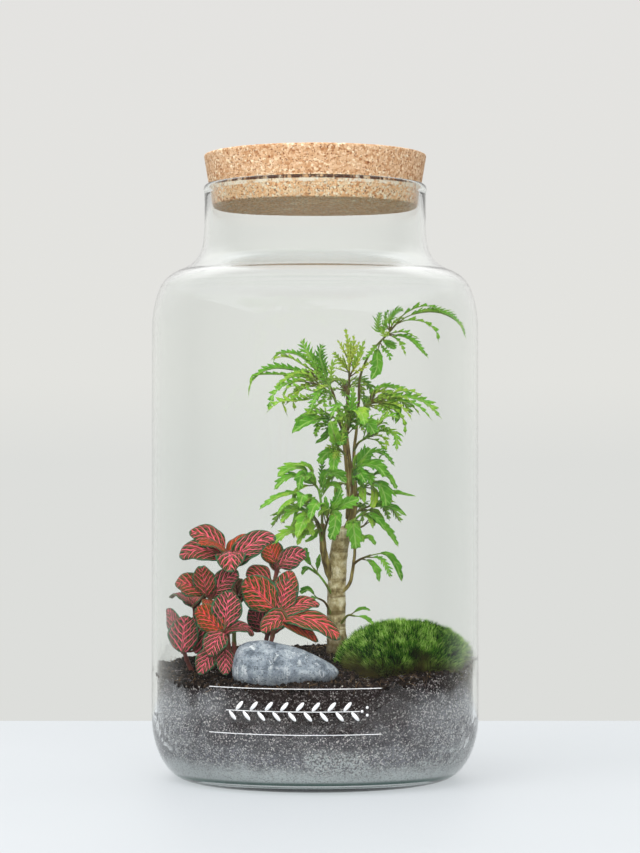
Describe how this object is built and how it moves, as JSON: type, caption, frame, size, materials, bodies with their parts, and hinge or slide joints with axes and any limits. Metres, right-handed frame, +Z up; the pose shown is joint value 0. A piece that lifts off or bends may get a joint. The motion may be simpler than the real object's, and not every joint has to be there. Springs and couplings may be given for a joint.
{
  "type": "glass plant terrarium",
  "caption": "Tall round glass jar with a cork stopper, planted with a small cut-leaved tree and a red-veined low plant over dark soil, a moss cushion and a cobble.",
  "frame": {"origin": "centre of the jar's foot, on the surface that it stands on", "axes": "+Z up along the jar's axis; -Y towards the side that the picture shows; +X to the viewer's right"},
  "size_m": [0.2, 0.2, 0.3813],
  "materials": {
    "glass": "clear blown glass with a faint grey-green tint",
    "cork": "matt agglomerated cork with brown and cream grains",
    "soil": "dark crumbly potting soil with pale specks",
    "cobble": "matt blue-grey stone with pale streaks",
    "moss": "soft fine green moss",
    "bark": "matt beige bark with ring scars",
    "aralia_leaf": "semi-gloss fresh green leaf",
    "fittonia_leaf": "semi-gloss leaf with a red to pink net of veins on green"
  },
  "bodies": {
    "root": {"glass_jar": "glass", "cork_stopper": "cork", "cobble": "cobble", "moss_cushion": "moss", "aralia_trunk": "bark", "aralia_crown_left_high": "aralia_leaf", "aralia_crown_left_middle": "aralia_leaf", "aralia_crown_left_low": "aralia_leaf", "aralia_crown_top": "aralia_leaf", "aralia_crown_right_high": "aralia_leaf", "aralia_crown_right_middle": "aralia_leaf", "aralia_crown_right_low": "aralia_leaf", "aralia_crown_front": "aralia_leaf", "aralia_crown_centre": "aralia_leaf", "aralia_middle_right_high": "aralia_leaf", "aralia_middle_right": "aralia_leaf", "aralia_middle_right_low": "aralia_leaf", "aralia_middle_right_shoot": "aralia_leaf", "aralia_middle_left_high": "aralia_leaf", "aralia_middle_left": "aralia_leaf", "aralia_middle_left_low": "aralia_leaf", "aralia_middle_front": "aralia_leaf", "aralia_shoot_left": "aralia_leaf", "aralia_shoot_left_low": "aralia_leaf", "aralia_shoot_right": "aralia_leaf", "aralia_shoot_right_low": "aralia_leaf", "aralia_crown_back": "aralia_leaf", "aralia_crown_back_right": "aralia_leaf", "aralia_middle_back_left": "aralia_leaf", "aralia_middle_back": "aralia_leaf", "aralia_middle_back_right": "aralia_leaf", "fittonia_shoot_top": "fittonia_leaf", "fittonia_shoot_right_back": "fittonia_leaf", "fittonia_shoot_front_right": "fittonia_leaf", "fittonia_shoot_front_left": "fittonia_leaf", "fittonia_shoot_left_high": "fittonia_leaf", "fittonia_shoot_left_low": "fittonia_leaf", "fittonia_shoot_back_left": "fittonia_leaf", "fittonia_shoot_back": "fittonia_leaf", "fittonia_shoot_back_low": "fittonia_leaf", "potting_soil": "soil"}
  },
  "joints": []
}
